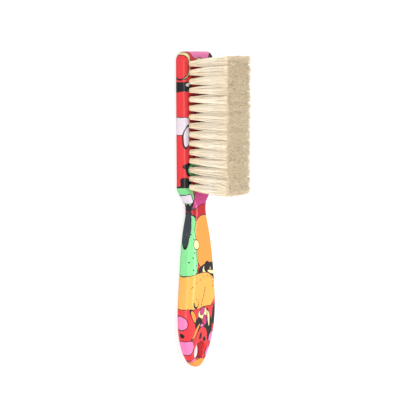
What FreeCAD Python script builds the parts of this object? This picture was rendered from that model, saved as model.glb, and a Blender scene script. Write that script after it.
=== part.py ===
import FreeCAD, Part
import math
import os
import re

import Sketcher

# A fade brush: a one-piece moulded handle with a flat, straight-sided head, a narrow neck, a palm-filling
# grip and a thin tail with a hang hole. Seventy-five tufts of bleached bristle stand in blind holes in the
# head. Each tuft is folded round a flat wire anchor that is driven into the bottom of its hole.
# The brush lies on its back: X runs from the head's end to the tail, Y across, Z up along the bristles.
# The origin is under the middle of the brush, on the surface that it lies on.

doc = FreeCAD.newDocument("fade_brush")

# ---------------------------------------------------------------- driving dimensions, in millimetres
SIZES = (
    ("head_length", 86.5, "head's end to the shoulders, straight sides"),
    ("head_width", 33.6, "width across the head's end"),
    ("shoulder_width", 32.2, "width across the head where the shoulders begin"),
    ("shoulder_length", 8.5, "shoulders, along the brush"),
    ("head_thickness", 9.0, "head's back to the face that holds the bristles"),
    ("head_corner", 6.0, "rounding of the head's end corners, seen from above"),
    ("shoulder_corner", 6.5, "rounding of the shoulders, seen from above"),
    ("face_edge", 2.8, "rounding of the bristle face's edge"),
    ("back_edge", 3.6, "rounding of the back's edge"),
    ("neck_reach", 3.6, "shoulders' end to the narrowest part of the neck"),
    ("neck_width", 15.2, "narrowest width"),
    ("neck_thickness", 9.0, "thickness there"),
    ("neck_lift", 0.7, "the neck's back above the surface that the brush lies on"),
    ("grip_length", 101.4, "narrowest part of the neck to the tail's end"),
    ("grip_width", 33.8, "widest part of the grip"),
    ("grip_thickness", 12.0, "thickest part of the grip"),
    ("tail_thickness", 5.0, "thickness near the tail's end"),
    ("tail_lift", 2.9, "the tail's back above the surface that the brush lies on"),
    ("tail_share", 0.3, "share of the grip's length that the rounded tail takes"),
    ("hang_hole", 11.9, "diameter of the hang hole"),
    ("hang_wall", 4.7, "wall between the hang hole and the tail's end"),
    ("hang_edge", 1.2, "rounding of the hang hole's rims"),
    ("rows_along", 15, "tufts along the head"),
    ("rows_across", 5, "tufts across the head"),
    ("first_row", 7.7, "head's end to the first row of tufts"),
    ("last_row", 2.78, "last row of tufts to where the shoulders begin"),
    ("side_margin", 4.5, "outer tufts to the head's side, at the shoulders"),
    ("hole_diameter", 3.3, "diameter of a tuft hole"),
    ("hole_depth", 6.0, "depth of a tuft hole"),
    ("root_gap", 0.05, "gap between a tuft's root and its hole, on the radius"),
    ("bristle_length", 27.5, "bristle that stands clear of the face"),
    ("tip_gap", 0.33, "gap left between the tips of tufts that stand upright"),
    ("end_lean", 2.0, "how far the tips of the end rows lean outwards"),
    ("anchor_width", 4.1, "flat wire anchor, across the head"),
    ("anchor_gauge", 0.45, "flat wire anchor, along the head"),
    ("anchor_height", 1.8, "flat wire anchor, along the hole"),
    ("fold_height", 1.0, "folded bristle between the anchor and the hole's floor"),
    ("anchor_gap", 0.03, "gap between the anchor and the bristle round it"),
)

sheet = doc.addObject("Spreadsheet::Sheet", "Sizes")
for row, (alias, value, meaning) in enumerate(SIZES, start=1):
    sheet.set(f"A{row}", alias)
    sheet.set(f"B{row}", str(value))
    sheet.set(f"C{row}", meaning)
    sheet.setAlias(f"B{row}", alias)
doc.recompute()


def size(alias):
    """A driving dimension, as a number."""
    return float(sheet.get(alias))


def bound(expression):
    """The expression, with each driving dimension's name pointed at its cell."""
    return re.sub(r"[a-z]+(_[a-z]+)+", lambda name: "<<Sizes>>." + name.group(), expression)


NECK_PLACE = "(head_length + shoulder_length + neck_reach)"
HALF_LENGTH = f"({NECK_PLACE} + grip_length) / 2"
ROW_PITCH = "(head_length - first_row - last_row) / (rows_along - 1)"
ACROSS_PITCH = "(shoulder_width - 2 * side_margin) / (rows_across - 1)"


def new_body(label):
    body = doc.addObject("PartDesign::Body", label)
    body.Label = label
    return body


def origin_feature(body, role):
    return next(f for f in body.Origin.OriginFeatures if f.Role == role)


def new_sketch(body, name, plane, **offsets):
    """A sketch on one of the body's origin planes, moved by expressions in the plane's own axes."""
    sketch = body.newObject("Sketcher::SketchObject", name)
    sketch.AttachmentSupport = [(origin_feature(body, plane), "")]
    sketch.MapMode = "FlatFace"
    for axis, expression in offsets.items():
        sketch.setExpression(f"AttachmentOffset.Base.{axis}", bound(expression))
    return sketch


def driven(sketch, name, constraint, expression):
    """Adds a named dimension to the sketch and ties it to the spreadsheet."""
    index = sketch.addConstraint(constraint)
    sketch.renameConstraint(index, name)
    sketch.setExpression(f"Constraints.{name}", bound(expression))


def line(x1, y1, x2, y2):
    return Part.LineSegment(FreeCAD.Vector(x1, y1, 0), FreeCAD.Vector(x2, y2, 0))


START, END, CENTRE = 1, 2, 3
ORIGIN_POINT = (-1, 1)
X_AXIS, Y_AXIS = -1, -2


def closed_outline(sketch, corners):
    """Lines joining the corners in order, end to end, back to the first. Returns their numbers."""
    lines = [
        sketch.addGeometry(line(*corner, *corners[(i + 1) % len(corners)]), False)
        for i, corner in enumerate(corners)
    ]
    for i, this in enumerate(lines):
        following = lines[(i + 1) % len(lines)]
        sketch.addConstraint(Sketcher.Constraint("Coincident", this, END, following, START))
    return lines


def rectangle(sketch, x_name, x_size, y_name, y_size, centre_y=None):
    """A rectangle centred on the sketch's Y axis, and on its X axis unless centre_y says where."""
    lines = closed_outline(sketch, [(-2, -1), (2, -1), (2, 1), (-2, 1)])
    bottom, right, top, left = lines
    sketch.addConstraint(Sketcher.Constraint("Horizontal", top))
    sketch.addConstraint(Sketcher.Constraint("Vertical", left))
    sketch.addConstraint(Sketcher.Constraint("Symmetric", bottom, START, bottom, END, Y_AXIS))
    driven(sketch, x_name, Sketcher.Constraint("DistanceX", bottom, START, bottom, END, 4.0), x_size)
    driven(sketch, y_name, Sketcher.Constraint("DistanceY", right, START, right, END, 2.0), y_size)
    sketch.addConstraint(Sketcher.Constraint("Symmetric", right, START, right, END, X_AXIS))
    return lines


def circle(sketch, name, radius_expression):
    """A circle on the sketch's origin."""
    ring = sketch.addGeometry(Part.Circle(FreeCAD.Vector(), FreeCAD.Vector(0, 0, 1), 1.0), False)
    sketch.addConstraint(Sketcher.Constraint("Coincident", ring, CENTRE, *ORIGIN_POINT))
    driven(sketch, name, Sketcher.Constraint("Radius", ring, 1.0), radius_expression)
    return ring


def filleted(body, name, base, edges, radius):
    """A PartDesign fillet of those edges of the base feature."""
    fillet = body.newObject("PartDesign::Fillet", name)
    fillet.Base = (base, edges)
    fillet.setExpression("Radius", bound(radius))
    doc.recompute()
    return fillet


def edges_where(feature, test):
    """Names of the feature's edges that pass the test."""
    return [f"Edge{i}" for i, edge in enumerate(feature.Shape.Edges, start=1) if test(edge)]


def is_level(edge, height):
    """True if the whole edge lies at that height."""
    box = edge.BoundBox
    return abs(box.ZMin - height) < 1e-4 and abs(box.ZMax - height) < 1e-4


# ---------------------------------------------------------------- handle: the head
handle = new_body("handle")

plan = new_sketch(handle, "head_plan", "XY_Plane", x=f"-{HALF_LENGTH}")
outline = closed_outline(plan, [(0, -16), (86, -16), (95, -9), (95, 9), (86, 16), (0, 16)])
near_side, near_shoulder, neck_line, far_shoulder, far_side, end_line = outline
for upright in (neck_line, end_line):
    plan.addConstraint(Sketcher.Constraint("Symmetric", upright, START, upright, END, X_AXIS))
plan.addConstraint(Sketcher.Constraint("Symmetric", near_side, END, far_side, START, X_AXIS))
plan.addConstraint(Sketcher.Constraint("PointOnObject", near_side, START, Y_AXIS))
driven(
    plan,
    "end_width",
    Sketcher.Constraint("DistanceY", end_line, END, end_line, START, 32.0),
    "head_width",
)
driven(
    plan,
    "shoulder_width",
    Sketcher.Constraint("DistanceY", near_side, END, far_side, START, 32.0),
    "shoulder_width",
)
driven(
    plan,
    "side_length",
    Sketcher.Constraint("DistanceX", near_side, START, near_side, END, 86.0),
    "head_length",
)
driven(
    plan,
    "shoulder_length",
    Sketcher.Constraint("DistanceX", near_shoulder, START, near_shoulder, END, 9.0),
    "shoulder_length",
)
driven(
    plan,
    "root_width",
    Sketcher.Constraint("DistanceY", neck_line, START, neck_line, END, 18.0),
    "neck_width + 1.6",
)

head = handle.newObject("PartDesign::Pad", "head")
head.Profile = plan
head.setExpression("Length", bound("head_thickness"))
doc.recompute()

along_parts = ("head_length", "shoulder_length", "neck_reach", "grip_length")
head_end = -sum(size(part) for part in along_parts) / 2
shoulder_place = head_end + size("head_length")


def is_upright_at(edge, place):
    box = edge.BoundBox
    return box.XLength < 1e-4 and box.YLength < 1e-4 and abs(box.XMin - place) < 1e-3


end_corners = filleted(
    handle, "end_corners", head, edges_where(head, lambda e: is_upright_at(e, head_end)), "head_corner"
)
shoulders = filleted(
    handle,
    "shoulders",
    end_corners,
    edges_where(end_corners, lambda e: is_upright_at(e, shoulder_place)),
    "shoulder_corner",
)
face_rim = filleted(
    handle,
    "face_rim",
    shoulders,
    edges_where(shoulders, lambda e: is_level(e, size("head_thickness"))),
    "face_edge",
)
back_edges = edges_where(face_rim, lambda e: is_level(e, 0))
back_rim = filleted(handle, "back_rim", face_rim, back_edges, "back_edge")

# ---------------------------------------------------------------- handle: neck, grip and tail
# The rest of the handle is lofted through rounded cross-sections. Each row gives a section's place past the
# neck as a share of the grip's length, then how far it has gone from the neck's size to the grip's, in width
# and in thickness, how much of the neck's lift is left under it, and the share of its thickness that the
# radius of its corners takes.
GRIP_SECTIONS = (
    ("neck", 0.0, 0.0, 0.0, 1.0, 0.43),
    ("flare", 0.10, 0.22, 0.22, 0.75, 0.44),
    ("upper_grip", 0.22, 0.52, 0.55, 0.40, 0.45),
    ("grip", 0.36, 0.71, 0.88, 0.10, 0.46),
    ("palm", 0.52, 0.89, 1.0, 0.0, 0.46),
)
# Seen from above, the tail is half an ellipse: a section stands at the sine of its angle along the tail and is
# as wide as the cosine, and the last one closes it. Each row gives that angle, then how far the section has
# gone from the grip's thickness to the tail's, and from the surface up to the tail's lift.
TAIL_SECTIONS = (
    ("heel", 0.0, 0.16, 0.10),
    ("hollow", 22.0, 0.48, 0.38),
    ("hang_eye", 41.0, 0.80, 0.72),
    ("tail", 58.0, 1.0, 1.0),
    ("tail_turn", 73.0, 1.12, 1.18),
    ("tail_end", 84.0, 1.36, 1.55),
)
TAIL_CORNER = 0.47
END_ANGLE = math.radians(TAIL_SECTIONS[-1][1])


def section(name, place, width, thickness, lift, corner):
    """A rounded rectangle across the handle. place is past the neck; all but corner are expressions."""
    sketch = new_sketch(handle, name, "YZ_Plane", z=f"{NECK_PLACE} - {HALF_LENGTH} + {place}")
    corners = ((1, 1), (-1, 1), (-1, -1), (1, -1))
    arcs = []
    for i, (side, level) in enumerate(corners):
        centre = FreeCAD.Vector(3 * side, 5 + 2 * level, 0)
        ring = Part.Circle(centre, FreeCAD.Vector(0, 0, 1), 1.0)
        arcs.append(sketch.addGeometry(Part.ArcOfCircle(ring, i * math.pi / 2, (i + 1) * math.pi / 2), False))
    runs = ((3, 8, -3, 8), (-4, 7, -4, 3), (-3, 2, 3, 2), (4, 3, 4, 7))
    lines = [sketch.addGeometry(line(*run), False) for run in runs]
    for i in range(4):
        sketch.addConstraint(Sketcher.Constraint("Tangent", arcs[i], END, lines[i], START))
        sketch.addConstraint(Sketcher.Constraint("Tangent", lines[i], END, arcs[(i + 1) % 4], START))
    for other in arcs[1:]:
        sketch.addConstraint(Sketcher.Constraint("Equal", arcs[0], other))
    top, left, bottom, right = lines
    sketch.addConstraint(Sketcher.Constraint("Symmetric", top, START, top, END, Y_AXIS))
    sketch.addConstraint(Sketcher.Constraint("Horizontal", bottom))
    for side in (left, right):
        sketch.addConstraint(Sketcher.Constraint("Vertical", side))
    driven(sketch, "corner", Sketcher.Constraint("Radius", arcs[0], 1.0), f"({thickness}) * {corner}")
    driven(sketch, "width", Sketcher.Constraint("DistanceX", left, START, right, START, 8.0), width)
    driven(sketch, "thickness", Sketcher.Constraint("DistanceY", bottom, START, top, START, 6.0), thickness)
    driven(sketch, "lift", Sketcher.Constraint("DistanceY", *ORIGIN_POINT, bottom, START, 2.0), lift)
    return sketch


# The loft begins inside the head, between its two rounded faces, so that the neck grows out of the shoulders.
inside = "(0 - neck_reach - 0.6 * shoulder_length)"
sections = [
    section("inside_head", inside, "neck_width + 5", "head_thickness - 1", "neck_lift", 0.40),
    section("shoulder_end", "0 - neck_reach", "neck_width + 1.4", "neck_thickness - 0.3", "neck_lift", 0.42),
]
for name, place, widening, thickening, lift_left, corner in GRIP_SECTIONS:
    sections.append(
        section(
            name,
            f"grip_length * {place}",
            f"neck_width + (grip_width - neck_width) * {widening}",
            f"neck_thickness + (grip_thickness - neck_thickness) * {thickening}",
            f"neck_lift * {lift_left}",
            corner,
        )
    )
for name, angle, thinning, rise in TAIL_SECTIONS:
    along = math.sin(math.radians(angle)) / math.sin(END_ANGLE)
    across = math.cos(math.radians(angle))
    sections.append(
        section(
            name,
            f"grip_length * (1 - tail_share + tail_share * {along:.6f})",
            f"grip_width * {across:.6f}",
            f"grip_thickness + (tail_thickness - grip_thickness) * {thinning}",
            f"tail_lift * {rise}",
            TAIL_CORNER,
        )
    )
grip = handle.newObject("PartDesign::AdditiveLoft", "neck_grip_and_tail")
grip.Profile = sections[0]
grip.Sections = [(other, [""]) for other in sections[1:]]
doc.recompute()

# ---------------------------------------------------------------- handle: hang hole
before_hole = handle.Shape.Volume
eye = new_sketch(handle, "hang_hole_outline", "XY_Plane", x=f"{HALF_LENGTH} - hang_wall - hang_hole / 2")
circle(eye, "hole_radius", "hang_hole / 2")
hang_hole = handle.newObject("PartDesign::Pocket", "hang_hole")
hang_hole.Profile = eye
hang_hole.Type = "ThroughAll"
hang_hole.Midplane = True
doc.recompute()


def is_hang_rim(edge):
    """True for an edge that runs round the hang hole, rather than down its wall."""
    axis_place = -head_end - size("hang_wall") - size("hang_hole") / 2
    off_wall = max(
        abs(math.hypot(point.x - axis_place, point.y) - size("hang_hole") / 2) for point in edge.discretize(9)
    )
    return off_wall < 0.01 and edge.BoundBox.YLength > 1


hang_rims = filleted(handle, "hang_rims", hang_hole, edges_where(hang_hole, is_hang_rim), "hang_edge")

# ---------------------------------------------------------------- handle: tuft holes and anchor seats
FIRST_ROW = f"first_row - {HALF_LENGTH}"
ROWS_ALONG, ROWS_ACROSS = int(size("rows_along")), int(size("rows_across"))
ANCHOR_FLOOR = "head_thickness - hole_depth + fold_height"


def row_pattern(body, name, features):
    """Repeats the features across the head, at the spacing of the tufts, from the first on one side."""
    pattern = body.newObject("PartDesign::LinearPattern", name)
    pattern.Originals = features
    pattern.Direction = (origin_feature(body, "Y_Axis"), [""])
    pattern.Mode = "Extent"
    pattern.setExpression("Length", bound(f"{ACROSS_PITCH} * (rows_across - 1)"))
    pattern.setExpression("Occurrences", bound("rows_across"))
    body.Tip = pattern
    return pattern


FIRST_ACROSS = f"0 - {ACROSS_PITCH} * (rows_across - 1) / 2"


def first_tuft_sketch(body, name, height):
    """A sketch at that height, centred on the first tuft of the first row."""
    return new_sketch(body, name, "XY_Plane", x=FIRST_ROW, y=FIRST_ACROSS, z=height)


hole_outline = first_tuft_sketch(handle, "tuft_hole_outline", "head_thickness")
circle(hole_outline, "hole_radius", "hole_diameter / 2")
tuft_hole = handle.newObject("PartDesign::Pocket", "tuft_hole")
tuft_hole.Profile = hole_outline
tuft_hole.setExpression("Length", bound("hole_depth"))

seat_outline = first_tuft_sketch(handle, "anchor_seat_outline", f"{ANCHOR_FLOOR} + anchor_height")
rectangle(seat_outline, "gauge", "anchor_gauge", "width", "anchor_width")
anchor_seat = handle.newObject("PartDesign::Pocket", "anchor_seat")
anchor_seat.Profile = seat_outline
anchor_seat.setExpression("Length", bound("anchor_height"))

drilled = row_pattern(handle, "drilled_head", [tuft_hole, anchor_seat])
drilled.Direction2 = (origin_feature(handle, "X_Axis"), [""])
drilled.Mode2 = "Extent"
drilled.setExpression("Length2", bound(f"{ROW_PITCH} * (rows_along - 1)"))
drilled.setExpression("Occurrences2", bound("rows_along"))
doc.recompute()


# ---------------------------------------------------------------- tufts and their anchors, row by row
def slide_to_row(body, row):
    """Moves a row's body along the head from the first row's place."""
    body.setExpression("Placement.Base.x", bound(f"{ROW_PITCH} * {row}"))


def tuft_row(row):
    """Five tufts: a root in its hole, folded round an anchor, and a bundle that opens out to its tips."""
    body = new_body(f"tuft_row_{row + 1:02d}")
    root_outline = first_tuft_sketch(body, f"root_outline_{row + 1}", "head_thickness")
    circle(root_outline, "root_radius", "hole_diameter / 2 - root_gap")
    root = body.newObject("PartDesign::Pad", f"root_{row + 1}")
    root.Profile = root_outline
    root.setExpression("Length", bound("hole_depth"))
    root.Reversed = True
    lean = f"end_lean * (2 * {row} / (rows_along - 1) - 1)"
    tips = new_sketch(
        body,
        f"tips_{row + 1}",
        "XY_Plane",
        x=f"{FIRST_ROW} + {lean}",
        y=FIRST_ACROSS,
        z="head_thickness + bristle_length",
    )
    circle(tips, "tip_radius", f"(min({ROW_PITCH}; {ACROSS_PITCH}) - tip_gap) / 2")
    bundle = body.newObject("PartDesign::AdditiveLoft", f"bundle_{row + 1}")
    bundle.Profile = root_outline
    bundle.Sections = [(tips, [""])]
    slot_outline = first_tuft_sketch(
        body, f"anchor_slot_{row + 1}", f"{ANCHOR_FLOOR} + anchor_height + anchor_gap"
    )
    rectangle(slot_outline, "gauge", "anchor_gauge + 2 * anchor_gap", "width", "2 * anchor_width")
    slot = body.newObject("PartDesign::Pocket", f"fold_{row + 1}")
    slot.Profile = slot_outline
    slot.setExpression("Length", bound("anchor_height + 2 * anchor_gap"))
    doc.recompute()
    row_pattern(body, f"tufts_{row + 1}", [root, bundle, slot])
    slide_to_row(body, row)
    return body


def anchor_row(row):
    """Five pieces of flat wire, each across its hole, with both ends pressed into the hole's wall."""
    body = new_body(f"anchor_row_{row + 1:02d}")
    outline = first_tuft_sketch(body, f"anchor_outline_{row + 1}", ANCHOR_FLOOR)
    rectangle(outline, "gauge", "anchor_gauge", "width", "anchor_width")
    anchor = body.newObject("PartDesign::Pad", f"anchor_{row + 1}")
    anchor.Profile = outline
    anchor.setExpression("Length", bound("anchor_height"))
    doc.recompute()
    row_pattern(body, f"anchors_{row + 1}", [anchor])
    slide_to_row(body, row)
    return body


pieces = [handle]
for row in range(ROWS_ALONG):
    pieces += [tuft_row(row), anchor_row(row)]
doc.recompute()

# ---------------------------------------------------------------- checks, then one STEP file per sub-part
for item in doc.Objects:
    if "Invalid" in item.State or "Error" in item.State:
        raise RuntimeError(f"{item.Label} did not recompute")
for piece in pieces:
    if piece.Shape.isNull() or not piece.Shape.isValid():
        raise RuntimeError(f"{piece.Label} has no valid shape")
    expected = 1 if piece is handle else ROWS_ACROSS
    if len(piece.Shape.Solids) != expected:
        raise RuntimeError(f"{piece.Label} has {len(piece.Shape.Solids)} solids, not {expected}")
holes = math.pi * (size("hole_diameter") / 2) ** 2 * size("hole_depth") * ROWS_ALONG * ROWS_ACROSS
drilled_out = hang_rims.Shape.Volume - drilled.Shape.Volume
if drilled_out < holes:
    raise RuntimeError(f"the tuft holes took {drilled_out:.0f} mm3 out of the head, less than {holes:.0f}")

os.makedirs("parts", exist_ok=True)
for piece in pieces:
    piece.Shape.exportStep(f"parts/{piece.Label}.step")
    print(piece.Label, round(piece.Shape.Volume, 2), "mm3")
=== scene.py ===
import math

import bpy
from mathutils import Matrix, Vector


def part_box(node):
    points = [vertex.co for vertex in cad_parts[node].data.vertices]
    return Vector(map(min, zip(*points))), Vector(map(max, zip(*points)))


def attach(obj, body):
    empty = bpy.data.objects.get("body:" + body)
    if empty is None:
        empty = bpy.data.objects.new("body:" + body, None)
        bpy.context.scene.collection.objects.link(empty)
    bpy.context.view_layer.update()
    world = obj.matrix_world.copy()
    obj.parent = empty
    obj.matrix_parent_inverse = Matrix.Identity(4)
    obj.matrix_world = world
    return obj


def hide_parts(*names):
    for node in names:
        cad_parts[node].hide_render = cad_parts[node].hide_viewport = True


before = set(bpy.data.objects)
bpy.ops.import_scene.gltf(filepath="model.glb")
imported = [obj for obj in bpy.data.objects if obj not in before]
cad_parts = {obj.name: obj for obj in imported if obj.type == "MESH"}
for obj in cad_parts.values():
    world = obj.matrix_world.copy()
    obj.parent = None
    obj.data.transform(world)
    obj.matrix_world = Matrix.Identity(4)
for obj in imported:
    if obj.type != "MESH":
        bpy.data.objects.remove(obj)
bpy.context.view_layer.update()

# Handle: one moulded ABS piece, printed all over by water transfer and then clear lacquered.
# The print is flat patches of colour with dark hand-drawn outlines. It wraps over every edge and into the
# hang hole, so the patches are blobs in the handle's own space and the surface shows where it cuts them.
MM = 0.001
OUTLINE_MM = 0.42
WOBBLE_MM = 1.1
WOBBLE_SIZE_MM = 9.0
GRAIN_SIZE_MM = 1.2
INK_TONE = (0.60, 0.72)
DIMPLE_MM = 0.3
PATCH_ORDER = (1e-9, 1e-9, 1e-9)


def linear(hex_colour):
    """An sRGB hex colour as the linear RGBA that shaders take."""
    parts = [int(hex_colour[i : i + 2], 16) / 255 for i in (0, 2, 4)]
    return [c / 12.92 if c <= 0.04045 else ((c + 0.055) / 1.055) ** 2.4 for c in parts] + [1.0]


def add(tree, kind, links=None, inputs=None, **settings):
    """Adds a node with its settings, its input values and its links, and returns it."""
    node = tree.nodes.new(kind)
    for name, value in settings.items():
        setattr(node, name, value)
    for name, value in (inputs or {}).items():
        node.inputs[name].default_value = value
    for name, socket in (links or {}).items():
        tree.links.new(socket, node.inputs[name])
    return node


def new_material(name):
    """An empty node material with its output node."""
    made = bpy.data.materials.new(name)
    made.use_nodes = True
    made.node_tree.nodes.clear()
    return made, made.node_tree, add(made.node_tree, "ShaderNodeOutputMaterial")


INK = "201a20"
RED, CRIMSON, PINK, MAGENTA = "ec3d42", "b81f28", "f583bb", "c83f82"
CREAM, PALE, GREEN, TEAL = "f7e6a8", "ece0ea", "86dd92", "2f6f72"
# The grey is a painted highlight. It is used only for the line inside the slate patch on the near-side edge.
ORANGE, AMBER, SLATE, PAINTED_HIGHLIGHT_GREY = "f79b44", "f8b355", "343c44", "6f7a82"
BLACK = "1c181b"
# Each patch: colour, outline colour or None, centre x, y, z, half sizes x, y, z, turn in degrees about Z, and
# True for a round patch or False for a squarish one. All sizes are millimetres. Later patches lie on top.
THROUGH = 40.0
PRINT = (
    # head: red sides and face, a pink end and small dark and pale shapes
    (PINK, INK, -104, 6, 7, 11.5, 19, 14, 0, True),
    (BLACK, None, -96.4, 15.2, 8, 3.8, 6.4, 6, 0, True),
    (CREAM, INK, -94.6, -2, 9.5, 1.3, 2.6, 3, 0, True),
    (CREAM, INK, -92, -17, 4.5, 9.3, 6.2, 9, 0, True),
    (RED, INK, -91, -17.6, 4, 7.8, 5.2, 8, 0, True),
    (BLACK, None, -78, -17, 5, 3.1, 6.5, 8, 0, False),
    (PALE, None, -79.2, -14.3, 8.2, 1.3, 1.5, 1.4, 0, True),
    (PALE, INK, -54, -17.5, 5, 5.2, 5.4, 9, 0, False),
    (PALE, INK, -47.5, -14.6, 8, 6.5, 1.9, 3.4, -8, True),
    (BLACK, None, -29.3, -14.2, 8.5, 2.2, 2.2, 3, 35, False),
    (BLACK, None, -18.2, -15, 8, 4.0, 3.4, 4, -30, False),
    (MAGENTA, INK, -63, 3, 9, 6, 9, 3, 20, True),
    (GREEN, INK, -27, 0, 9, 6, 14, 3, 0, True),
    (BLACK, None, -44, 6, 9, 4, 14, 3, 30, True),
    # back of the head: broad plain blobs
    (AMBER, INK, -82, 4, -1, 12, 9, 4, 25, True),
    (PALE, INK, -60, -6, -1, 9, 7, 4, -20, True),
    (TEAL, INK, -40, 5, -1, 13, 6, 4, 15, True),
    (PINK, INK, -38, 6, -1, 7, 2.6, 4, 15, True),
    (BLACK, None, -70, -10, -1, 5, 3, 4, 40, True),
    (MAGENTA, INK, -22, -6, -1, 7, 7, 4, 0, True),
    # neck and upper grip: green on the near side, warm colours on the far side
    (GREEN, INK, 12, -16, 6, 27.5, 9.5, THROUGH, 0, False),
    (TEAL, None, -9.5, -17, 3, 1.1, 4, 6, 20, True),
    (PALE, INK, -7.2, -12, 7, 3.6, 3.0, 6, 35, False),
    (MAGENTA, INK, -6.5, 5, 6, 7.0, 12.2, THROUGH, 0, False),
    (CRIMSON, INK, 0.2, 4, 6, 4.6, 11.4, THROUGH, 0, True),
    (ORANGE, INK, 19, 6, 6, 16.3, 13.6, THROUGH, 0, False),
    (BLACK, None, 39, 9, 6, 5.6, 16.5, THROUGH, 0, False),
    (CREAM, INK, 37.4, 3, 12, 4.0, 4.6, 5, 0, True),
    (BLACK, None, 35.8, 3.4, 12, 3.6, 3.6, 5, 0, True),
    (CREAM, INK, 39.6, 9, 11, 1.1, 5.5, 5, -12, True),
    (SLATE, INK, 9.6, -11.4, 4.8, 13.5, 3.4, 3.6, -11, True),
    # Painted highlight: a light grey line down the dark slate patch stands for the clear coat's reflection
    # along the near-side edge.
    (PAINTED_HIGHLIGHT_GREY, None, 7.6, -11.2, 5.8, 9.5, 1.5, 0.9, -11, True),
    (CREAM, INK, 20.3, -7.6, 11, 2.7, 2.2, 4, 0, True),
    # grip: a large amber blob with a curl
    (AMBER, INK, 51.2, -5, 6, 12.8, 18.6, THROUGH, 0, True),
    (INK, None, 57.6, -9.4, 12, 3.0, 2.9, 3, 0, True),
    (AMBER, None, 57.2, -9.0, 12, 2.2, 2.1, 3, 0, True),
    (AMBER, None, 54.9, -11.5, 12, 1.8, 1.9, 3, 0, True),
    # tail: red with pink, black, orange and cream shapes, and a red ring round the hang hole
    (RED, INK, 84, 0, 6, 23, 40, THROUGH, 0, False),
    (ORANGE, INK, 65.5, -11.5, 9, 4.6, 1.7, 6, 28, True),
    (CREAM, INK, 64.6, -1.5, 12, 3.3, 5.2, 5, 0, True),
    (MAGENTA, INK, 63.2, -2, 12, 2.2, 2.6, 5, 0, True),
    (BLACK, None, 71.5, -5, 11, 5.2, 4.2, 6, 35, True),
    (BLACK, None, 75.5, 6, 10, 8.5, 5.0, 6, 10, True),
    (BLACK, None, 67, 13, 8, 8, 4, 8, 0, True),
    (MAGENTA, INK, 69.5, 1.5, 11.5, 3.2, 1.8, 4, 15, True),
    (CREAM, INK, 69, 5.8, 11, 5.5, 1.0, 4, 12, True),
    (PINK, INK, 75.2, -0.6, 11, 3.6, 1.8, 5, 25, True),
    (CREAM, INK, 78.8, 3.6, 10, 3.0, 1.0, 4, 5, True),
    (ORANGE, INK, 75.6, -7.6, 10, 5.6, 1.1, 5, -38, True),
    (PINK, INK, 69.5, -16.5, 5, 4.4, 3.0, 4.5, 0, True),
    (BLACK, None, 77, -15.6, 6, 2.4, 1.1, 2, 0, True),
    (PINK, INK, 85.4, -12.4, 6, 5.0, 4.4, 6, 20, True),
    (PINK, INK, 82.0, 11.5, 8, 3.6, 2.4, 5, -15, True),
    (BLACK, None, 87.5, 13, 7, 3.0, 2.6, 5, 0, True),
    (RED, INK, 85.8, -0.4, 8, 11.6, 7.6, 20, 0, True),
    (BLACK, None, 79.6, -1.6, 9, 2.1, 1.5, 5, 10, True),
    (BLACK, None, 82.4, 3.4, 9, 1.7, 1.3, 5, 60, True),
    (PINK, INK, 91.5, 9.6, 6, 3.6, 2.6, 6, -30, True),
    (PINK, INK, 95.6, -2.6, 6, 2.5, 6.5, 12, 0, True),
    (ORANGE, CRIMSON, 101.5, 0, 6, 6.6, 15, 20, 0, True),
)
# Specks lie on the upper side only: dark dots on the green, rust-coloured dashes in an arc inside the amber
# blob and a dotted line across it. Each speck: centre x and y, colour, half sizes x and y, and turn.
SPECK_Z, SPECK_HALF_Z = 11, 4
GREEN_SPECKS = ((7, -8.9), (14, -10.4), (17, -9.2), (25, -9.4), (28, -11), (33, -9), (31, -13.4), (36, -11.5))
SPECKS = [(x, y, INK, 0.55, 0.42, 0) for x, y in GREEN_SPECKS]
RUST = "b5562e"
DASHES, FIRST_DASH_TURN, DASH_STEP = 9, -62, 17
ARC_X, ARC_Y, ARC_HALF_X, ARC_HALF_Y, ARC_SKEW = 51.2, -5, 9.6, 14.6, 0.5
for step in range(DASHES):
    turn = math.radians(FIRST_DASH_TURN + DASH_STEP * step)
    dash_x = ARC_X - ARC_HALF_X * math.cos(turn)
    dash_y = ARC_Y + ARC_HALF_Y * math.sin(turn + ARC_SKEW)
    SPECKS.append((dash_x, dash_y, RUST, 0.9, 0.35, 20 * step - 50))
DOTS, FIRST_DOT_X, FIRST_DOT_Y, DOT_STEP_X, DOT_STEP_Y = 8, 48.6, 0.6, 1.5, 0.62
for step in range(DOTS):
    SPECKS.append((FIRST_DOT_X + DOT_STEP_X * step, FIRST_DOT_Y - DOT_STEP_Y * step, INK, 0.62, 0.5, 0))


def fill(tree, reach, limit, below, colour):
    """Paints a colour over the one below it, wherever reach is less than its limit."""
    mask = add(tree, "ShaderNodeMath", {0: reach}, {1: limit}, operation="LESS_THAN").outputs[0]
    painted = add(tree, "ShaderNodeMix", {"Factor": mask, 6: below}, {7: linear(colour)}, data_type="RGBA")
    return painted.outputs[2]


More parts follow.
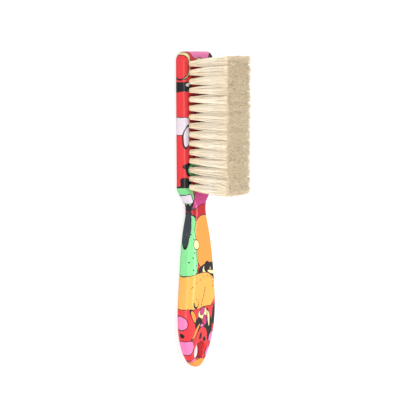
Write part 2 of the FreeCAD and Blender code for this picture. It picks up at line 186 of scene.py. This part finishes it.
def patch(tree, place, below, colour, outline, centre, radii, turn, rounded):
    """Paints one patch over the colour below it, and returns the new colour."""
    # A billionth of the colour below is added to the place. It moves nothing that shows, and it makes the
    # renderer work the patches out one after another: it has no room to keep them all at once.
    links = {0: below, 2: place}
    after = add(tree, "ShaderNodeVectorMath", links, {1: PATCH_ORDER}, operation="MULTIPLY_ADD")
    local = add(tree, "ShaderNodeMapping", {"Vector": after.outputs[0]}, vector_type="TEXTURE")
    local.inputs["Location"].default_value = [c * MM for c in centre]
    local.inputs["Rotation"].default_value = (0, 0, math.radians(turn))
    local.inputs["Scale"].default_value = [r * MM for r in radii]
    inside = local.outputs[0]
    if rounded:
        reach = add(tree, "ShaderNodeVectorMath", {0: inside}, operation="LENGTH").outputs["Value"]
    else:
        square = add(tree, "ShaderNodeVectorMath", {0: inside, 1: inside}, operation="MULTIPLY")
        fourth = add(tree, "ShaderNodeVectorMath", {0: square.outputs[0]}, operation="LENGTH")
        reach = add(tree, "ShaderNodeMath", {0: fourth.outputs["Value"]}, operation="SQRT").outputs[0]
    if outline:
        below = fill(tree, reach, 1 + OUTLINE_MM / min(radii), below, outline)
    return fill(tree, reach, 1.0, below, colour)


# Printed and lacquered ABS: saturated flat inks under a thin clear coat, which shows as soft, narrow
# highlights along the rounded edges.
print_material, tree, output = new_material("printed_lacquered_abs")
coordinates = add(tree, "ShaderNodeTexCoord")
wobble = add(
    tree,
    "ShaderNodeTexNoise",
    {"Vector": coordinates.outputs["Object"]},
    {"Scale": 1 / (WOBBLE_SIZE_MM * MM), "Detail": 1.0},
)
centred = add(
    tree,
    "ShaderNodeVectorMath",
    {0: wobble.outputs["Color"]},
    {1: (0.5, 0.5, 0.5)},
    operation="SUBTRACT",
)
shift = add(tree, "ShaderNodeVectorMath", {0: centred.outputs[0]}, operation="SCALE")
shift.inputs["Scale"].default_value = 2 * WOBBLE_MM * MM
place = add(
    tree,
    "ShaderNodeVectorMath",
    {0: coordinates.outputs["Object"], 1: shift.outputs[0]},
    operation="ADD",
).outputs[0]
ground = add(tree, "ShaderNodeRGB")
ground.outputs[0].default_value = linear(RED)
colour = ground.outputs[0]
for paint, outline, x, y, z, half_x, half_y, half_z, turn, rounded in PRINT:
    colour = patch(tree, place, colour, paint, outline, (x, y, z), (half_x, half_y, half_z), turn, rounded)
for x, y, paint, half_x, half_y, turn in SPECKS:
    centre, radii = (x, y, SPECK_Z), (half_x, half_y, SPECK_HALF_Z)
    colour = patch(tree, place, colour, paint, None, centre, radii, turn, True)
# A faint print grain keeps the inks from looking like solid plastic.
grain = add(
    tree,
    "ShaderNodeTexNoise",
    {"Vector": coordinates.outputs["Object"]},
    {"Scale": 1 / (GRAIN_SIZE_MM * MM), "Detail": 3.0},
)
tone = add(
    tree,
    "ShaderNodeMapRange",
    {"Value": grain.outputs[0]},
    {"To Min": INK_TONE[0], "To Max": INK_TONE[1]},
)
inked = add(tree, "ShaderNodeVectorMath", {0: colour, "Scale": tone.outputs[0]}, operation="SCALE")
dimple = add(
    tree,
    "ShaderNodeBump",
    {"Height": wobble.outputs[0]},
    {"Strength": 0.05, "Distance": DIMPLE_MM * MM},
)
shader = add(
    tree,
    "ShaderNodeBsdfPrincipled",
    {"Base Color": inked.outputs[0], "Normal": dimple.outputs[0]},
    {"Roughness": 0.42, "Specular IOR Level": 0.08, "Coat Weight": 0.2, "Coat Roughness": 0.12},
)
tree.links.new(shader.outputs[0], output.inputs["Surface"])
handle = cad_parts["handle"]
handle.data.materials.clear()
handle.data.materials.append(print_material)

# Wire anchors: flat drawn steel, cut to length and driven across the bottom of each hole.
# The folded tuft hides them, so they keep their plain shape. Drawing leaves the steel grey, bright and a
# little streaky.
STREAK_SIZE_MM = 0.4
steel, tree, output = new_material("drawn_steel_wire")
coordinates = add(tree, "ShaderNodeTexCoord")
streaks = add(
    tree,
    "ShaderNodeTexNoise",
    {"Vector": coordinates.outputs["Object"]},
    {"Scale": 1 / (STREAK_SIZE_MM * MM)},
)
steel_tone = add(tree, "ShaderNodeValToRGB", {0: streaks.outputs[0]})
steel_tone.color_ramp.elements[0].color = linear("8f8c86")
steel_tone.color_ramp.elements[1].color = linear("bdbab2")
shader = add(
    tree,
    "ShaderNodeBsdfPrincipled",
    {"Base Color": steel_tone.outputs[0]},
    {"Metallic": 1.0, "Roughness": 0.35},
)
tree.links.new(shader.outputs[0], output.inputs["Surface"])
for name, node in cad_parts.items():
    if name.startswith("anchor_row"):
        node.data.materials.clear()
        node.data.materials.append(steel)

# Bristle tufts: bleached natural bristle, folded round its anchor in a blind hole and trimmed level.
# The hairs leave the hole as a tight round bundle and open out until they fill the space between tufts.
HAIRS = 250
ROWS_ACROSS = 5
HAIR_ROOT_MM, HAIR_TIP_MM = 0.115, 0.085
HAIR_SIDES, HAIR_POINTS = 3, 6
BOW_MM = 1.3
OPENING_CURVE = 0.8
RAGGED_MM = 1.7
RAGGED_CURVE = 2.2
STRAY_MM = 0.7
PAST_TIPS_MM = 0.7
BURIED_MM = 4.5
ROOT_FILL = 0.96
SPREAD_ALONG, SPREAD_ACROSS = 0.55, 0.32
SEED_STRIDE = 17
HEAD_THICKNESS_MM = 9.0
LEVEL_MM = 0.01
FACE_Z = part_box("handle")[0].z + HEAD_THICKNESS_MM * MM

# Bleached natural bristle: dull cream, palest half way up, with one hair in six or so left darker.
bristle, tree, output = new_material("bleached_natural_bristle")
along = add(tree, "ShaderNodeAttribute", attribute_name="along")
shade = add(tree, "ShaderNodeAttribute", attribute_name="shade")
length_tone = add(tree, "ShaderNodeValToRGB", {0: along.outputs["Fac"]})
length_tone.color_ramp.elements[0].color = linear("f3e2c0")
length_tone.color_ramp.elements[1].color = linear("f6e9cf")
middle = length_tone.color_ramp.elements.new(0.55)
middle.color = linear("fdf4e2")
hair_tone = add(tree, "ShaderNodeValToRGB", {0: shade.outputs["Fac"]})
hair_tone.color_ramp.elements[0].color = linear("b08a58")
hair_tone.color_ramp.elements[0].position = 0.0
hair_tone.color_ramp.elements[1].color = (1, 1, 1, 1)
hair_tone.color_ramp.elements[1].position = 0.16
mixed = add(
    tree,
    "ShaderNodeMix",
    {6: length_tone.outputs[0], 7: hair_tone.outputs[0]},
    {"Factor": 1.0},
    data_type="RGBA",
    blend_type="MULTIPLY",
)
shader = add(
    tree,
    "ShaderNodeBsdfPrincipled",
    {"Base Color": mixed.outputs[2]},
    {"Roughness": 0.5, "Specular IOR Level": 0.35, "Sheen Weight": 0.15},
)
tree.links.new(shader.outputs[0], output.inputs["Surface"])


def hair_tree():
    """Hairs of one row: random roots in each hole, tips spread over the tuft's share of the block."""
    group = bpy.data.node_groups.new("tuft_row", "GeometryNodeTree")
    sockets = (
        ("Hairs", "NodeSocketInt"),
        ("Seed", "NodeSocketInt"),
        ("First", "NodeSocketVector"),
        ("Across", "NodeSocketFloat"),
        ("Root Radius", "NodeSocketFloat"),
        ("Lean", "NodeSocketVector"),
        ("Spread", "NodeSocketVector"),
        ("Length", "NodeSocketFloat"),
        ("Buried", "NodeSocketFloat"),
        ("Material", "NodeSocketMaterial"),
    )
    for name, kind in sockets:
        group.interface.new_socket(name, in_out="INPUT", socket_type=kind)
    group.interface.new_socket("Geometry", in_out="OUTPUT", socket_type="NodeSocketGeometry")
    given = add(group, "NodeGroupInput").outputs

    def maths(operation, *values):
        node = add(group, "ShaderNodeMath", operation=operation)
        for i, value in enumerate(values):
            if isinstance(value, (int, float)):
                node.inputs[i].default_value = value
            else:
                group.links.new(value, node.inputs[i])
        return node.outputs[0]

    def vector(x, y, z):
        node = add(group, "ShaderNodeCombineXYZ")
        for i, value in enumerate((x, y, z)):
            if isinstance(value, (int, float)):
                node.inputs[i].default_value = value
            else:
                group.links.new(value, node.inputs[i])
        return node.outputs[0]

    def vectors(operation, *values):
        node = add(group, "ShaderNodeVectorMath", operation=operation)
        for i, value in enumerate(values):
            group.links.new(value, node.inputs["Scale" if operation == "SCALE" and i == 1 else i])
        return node.outputs[0]

    def chance(low, high, salt):
        node = add(group, "FunctionNodeRandomValue", data_type="FLOAT")
        node.inputs[2].default_value, node.inputs[3].default_value = low, high
        seed = maths("ADD", maths("MULTIPLY", given["Seed"], SEED_STRIDE), salt)
        group.links.new(seed, node.inputs["Seed"])
        return node.outputs[1]

    def stored(geometry, name, value, kind):
        links = {"Geometry": geometry}
        node = add(group, "GeometryNodeStoreNamedAttribute", links, data_type=kind, domain="POINT")
        node.inputs["Name"].default_value = name
        group.links.new(value, node.inputs["Value"])
        return node.outputs[0]

    def named(name, kind):
        node = add(group, "GeometryNodeInputNamedAttribute", data_type=kind)
        node.inputs["Name"].default_value = name
        return node.outputs[0]

    # one point for each hair, at its root
    count = maths("MULTIPLY", given["Hairs"], ROWS_ACROSS)
    points = add(group, "GeometryNodePoints", {"Count": count})
    index = add(group, "GeometryNodeInputIndex").outputs[0]
    tuft = maths("FLOOR", maths("DIVIDE", maths("ADD", index, 0.5), given["Hairs"]))
    reach = maths("SQRT", chance(0.0, 1.0, 1))
    angle = chance(0.0, 2 * math.pi, 2)
    cosine, sine = maths("COSINE", angle), maths("SINE", angle)
    disc = vector(maths("MULTIPLY", reach, cosine), maths("MULTIPLY", reach, sine), 0.0)
    centre = vectors("ADD", given["First"], vector(0.0, maths("MULTIPLY", tuft, given["Across"]), 0.0))
    root = vectors("ADD", centre, vectors("SCALE", disc, given["Root Radius"]))
    placed = add(group, "GeometryNodeSetPosition", {"Geometry": points.outputs[0], "Position": root})
    placed = placed.outputs[0]
    # the tip: the disc pushed out to a square, plus the row's lean, a ragged length and a stray
    side = maths("MAXIMUM", maths("ABSOLUTE", cosine), maths("ABSOLUTE", sine))
    boxed = vectors("SCALE", disc, maths("DIVIDE", 1.0, side))
    stray = vector(chance(-STRAY_MM * MM, STRAY_MM * MM, 3), chance(-STRAY_MM * MM, STRAY_MM * MM, 4), 0.0)
    shortfall = maths("MULTIPLY", maths("POWER", chance(0.0, 1.0, 5), RAGGED_CURVE), -RAGGED_MM * MM)
    opened = vectors("ADD", vectors("MULTIPLY", boxed, given["Spread"]), vectors("ADD", given["Lean"], stray))
    placed = stored(placed, "opened", opened, "FLOAT_VECTOR")
    placed = stored(placed, "height", maths("ADD", given["Length"], shortfall), "FLOAT")
    placed = stored(placed, "bow", vector(chance(-0.5, 0.5, 6), chance(-0.5, 0.5, 7), 0.0), "FLOAT_VECTOR")
    placed = stored(placed, "shade", chance(0.0, 1.0, 8), "FLOAT")
    # one straight strand, repeated, then bent to each hair's own tip
    strand = add(group, "GeometryNodeCurvePrimitiveLine")
    strand.inputs["End"].default_value = (0, 0, 1)
    cut = add(group, "GeometryNodeResampleCurve", {"Curve": strand.outputs[0]})
    cut.inputs["Count"].default_value = HAIR_POINTS
    grown = add(group, "GeometryNodeInstanceOnPoints", {"Points": placed, "Instance": cut.outputs[0]})
    hairs = add(group, "GeometryNodeRealizeInstances", {"Geometry": grown.outputs[0]}).outputs[0]
    share = add(group, "GeometryNodeSplineParameter").outputs["Factor"]
    whole = maths("ADD", named("height", "FLOAT"), given["Buried"])
    rise = maths("SUBTRACT", maths("MULTIPLY", share, whole), given["Buried"])
    free = maths("MAXIMUM", maths("DIVIDE", rise, named("height", "FLOAT")), 0.0)
    opening = maths("POWER", free, OPENING_CURVE)
    bend = maths("MULTIPLY", maths("SINE", maths("MULTIPLY", free, math.pi)), BOW_MM * MM)
    position = add(group, "GeometryNodeInputPosition").outputs[0]
    drop = vector(0.0, 0.0, maths("SUBTRACT", rise, share))
    spread = vectors("SCALE", named("opened", "FLOAT_VECTOR"), opening)
    bowed = vectors("SCALE", named("bow", "FLOAT_VECTOR"), bend)
    target = vectors("ADD", vectors("ADD", position, drop), vectors("ADD", spread, bowed))
    hairs = add(group, "GeometryNodeSetPosition", {"Geometry": hairs, "Position": target}).outputs[0]
    hairs = stored(hairs, "along", free, "FLOAT")
    profile = add(group, "GeometryNodeCurvePrimitiveCircle")
    profile.inputs["Resolution"].default_value = HAIR_SIDES
    profile.inputs["Radius"].default_value = 1.0
    thickness = maths("ADD", maths("MULTIPLY", share, (HAIR_TIP_MM - HAIR_ROOT_MM) * MM), HAIR_ROOT_MM * MM)
    tube = add(
        group,
        "GeometryNodeCurveToMesh",
        {"Curve": hairs, "Profile Curve": profile.outputs[0], "Scale": thickness},
    )
    tube.inputs["Fill Caps"].default_value = True
    real = add(group, "GeometryNodeRealizeInstances", {"Geometry": tube.outputs[0]})
    links = {"Geometry": real.outputs[0], "Material": given["Material"]}
    finished = add(group, "GeometryNodeSetMaterial", links)
    add(group, "NodeGroupOutput", {"Geometry": finished.outputs[0]})
    return group


def middle_and_radius(points):
    """The middle and the half width, along the brush, of one level of a tuft row."""
    low_x, high_x = min(p.x for p in points), max(p.x for p in points)
    return (low_x + high_x) / 2, (high_x - low_x) / 2


tuft_group = hair_tree()
sockets = {item.name: item.identifier for item in tuft_group.interface.items_tree if item.in_out == "INPUT"}
tuft_names = sorted(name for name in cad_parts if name.startswith("tuft_row"))
for number, name in enumerate(tuft_names):
    top_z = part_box(name)[1].z
    corners = [v.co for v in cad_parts[name].data.vertices]
    roots = [c for c in corners if c.z < FACE_Z + LEVEL_MM * MM]
    tips = [c for c in corners if c.z > top_z - LEVEL_MM * MM]
    root_x, root_radius = middle_and_radius(roots)
    tip_x, tip_radius = middle_and_radius(tips)
    first_y = min(v.y for v in roots) + root_radius
    last_y = max(v.y for v in roots) - root_radius
    across = (last_y - first_y) / (ROWS_ACROSS - 1)
    values = {
        "Hairs": HAIRS,
        "Seed": number + 1,
        "First": (root_x, first_y, FACE_Z),
        "Across": across,
        "Root Radius": root_radius * ROOT_FILL,
        "Lean": (tip_x - root_x, 0.0, 0.0),
        "Spread": (tip_radius * SPREAD_ALONG, across * SPREAD_ACROSS, 0.0),
        "Length": top_z - FACE_Z + PAST_TIPS_MM * MM,
        "Buried": BURIED_MM * MM,
        "Material": bristle,
    }
    seedling = bpy.data.objects.new("seedling", bpy.data.meshes.new("seedling"))
    bpy.context.scene.collection.objects.link(seedling)
    modifier = seedling.modifiers.new("hairs", "NODES")
    modifier.node_group = tuft_group
    for socket, value in values.items():
        modifier[sockets[socket]] = value
    bpy.context.view_layer.update()
    depsgraph = bpy.context.evaluated_depsgraph_get()
    grown = bpy.data.meshes.new_from_object(
        seedling.evaluated_get(depsgraph), preserve_all_data_layers=True, depsgraph=depsgraph
    )
    seedling.modifiers.remove(modifier)
    bpy.data.objects.remove(seedling)
    tufts = bpy.data.objects.new(f"bristles_{name[-2:]}", grown)
    bpy.context.scene.collection.objects.link(tufts)
    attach(tufts, "root")
    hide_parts(name)

# Studio: a plain pale sweep, two soft boxes along the brush and a pale room.
# The camera looks across the brush's near side at the bristles, with the head at the top of the frame.
# Its turns are in degrees, and its places and the lights' are in metres.
LOOK_ROUND, LOOK_UP = math.radians(57.41), math.radians(6.54)
CAMERA_DISTANCE = 0.85319
CAMERA_RIGHT, CAMERA_UP = 0.003418, 0.006746
LENS = 121.7
back = Vector(
    (-math.sin(LOOK_UP), -math.sin(LOOK_ROUND) * math.cos(LOOK_UP), math.cos(LOOK_ROUND) * math.cos(LOOK_UP))
)
right = Vector((-1, 0, 0)).cross(back).normalized()
up = back.cross(right)
AIM_HEIGHT = 0.0045
aim = Vector((0, 0, AIM_HEIGHT))
camera = bpy.data.objects.new("camera", bpy.data.cameras.new("camera"))
camera.data.lens = LENS
camera.data.clip_start, camera.data.clip_end = 0.05, 20
where = aim + back * CAMERA_DISTANCE + right * CAMERA_RIGHT + up * CAMERA_UP
camera.matrix_world = Matrix.Translation(where) @ Matrix((right, up, back)).transposed().to_4x4()
bpy.context.scene.collection.objects.link(camera)
bpy.context.scene.camera = camera


def soft_box(name, place, aim_at, width, height, power):
    """A rectangular area light that faces a point."""
    light = bpy.data.lights.new(name, "AREA")
    light.shape = "RECTANGLE"
    light.size, light.size_y = width, height
    light.energy = power
    lamp = bpy.data.objects.new(name, light)
    lamp.location = place
    lamp.rotation_euler = (Vector(aim_at) - Vector(place)).to_track_quat("-Z", "Y").to_euler()
    bpy.context.scene.collection.objects.link(lamp)


# name, place, the point it faces, width, height, power in watts
SOFT_BOXES = (
    ("near_soft_box", (0.05, -0.62, 0.20), (0, 0, 0.015), 0.5, 0.32, 3.6),
    ("top_soft_box", (-0.05, 0.18, 0.75), (0, 0, 0.02), 0.5, 0.35, 8.5),
)
for box in SOFT_BOXES:
    soft_box(*box)

FLOOR_HALF = 3.0
floor_mesh = bpy.data.meshes.new("floor")
floor_corners = [(-1, -1), (1, -1), (1, 1), (-1, 1)]
floor_mesh.from_pydata([(x * FLOOR_HALF, y * FLOOR_HALF, 0) for x, y in floor_corners], [], [(0, 1, 2, 3)])
floor = bpy.data.objects.new("floor", floor_mesh)
bpy.context.scene.collection.objects.link(floor)

def seen_by_eye(tree):
    """1 for rays from the camera, in mirrors and through clear parts, and 0 for other light."""
    ray = add(tree, "ShaderNodeLightPath").outputs
    links = {0: ray["Is Camera Ray"], 1: ray["Is Glossy Ray"]}
    seen = add(tree, "ShaderNodeMath", links, operation="MAXIMUM")
    links = {0: seen.outputs[0], 1: ray["Is Transmission Ray"]}
    return add(tree, "ShaderNodeMath", links, operation="MAXIMUM").outputs[0]


# White paper: plain matt grey to the light it bounces, and near white to the eye, with the object's shadow.
PAPER_GREY, SHADOW_GREY, PAPER_GLOW = 0.8, 0.3, 0.80
sweep, tree, output = new_material("white_paper_sweep")
paper = add(tree, "ShaderNodeBsdfDiffuse", inputs={"Color": (PAPER_GREY, PAPER_GREY, PAPER_GREY, 1)})
shadowed = add(tree, "ShaderNodeBsdfDiffuse", inputs={"Color": (SHADOW_GREY, SHADOW_GREY, SHADOW_GREY, 1)})
glow = add(tree, "ShaderNodeEmission", inputs={"Color": (1, 1, 1, 1), "Strength": PAPER_GLOW})
lit_paper = add(tree, "ShaderNodeAddShader", {0: shadowed.outputs[0], 1: glow.outputs[0]})
both = add(tree, "ShaderNodeMixShader", {0: seen_by_eye(tree), 1: paper.outputs[0], 2: lit_paper.outputs[0]})
tree.links.new(both.outputs[0], output.inputs["Surface"])
floor_mesh.materials.append(sweep)

# Pale room: white to the eye, and a dimmer even light from all round.
ROOM_LIGHT = 0.55
world = bpy.data.worlds.new("pale_room")
bpy.context.scene.world = world
world.use_nodes = True
tree = world.node_tree
tree.nodes.clear()
room = add(tree, "ShaderNodeBackground", inputs={"Color": (1, 1, 1, 1), "Strength": ROOM_LIGHT})
white = add(tree, "ShaderNodeBackground", inputs={"Color": (1, 1, 1, 1), "Strength": 1.0})
both = add(tree, "ShaderNodeMixShader", {0: seen_by_eye(tree), 1: room.outputs[0], 2: white.outputs[0]})
add(tree, "ShaderNodeOutputWorld", {"Surface": both.outputs[0]})
bpy.context.scene.view_settings.view_transform = "Standard"
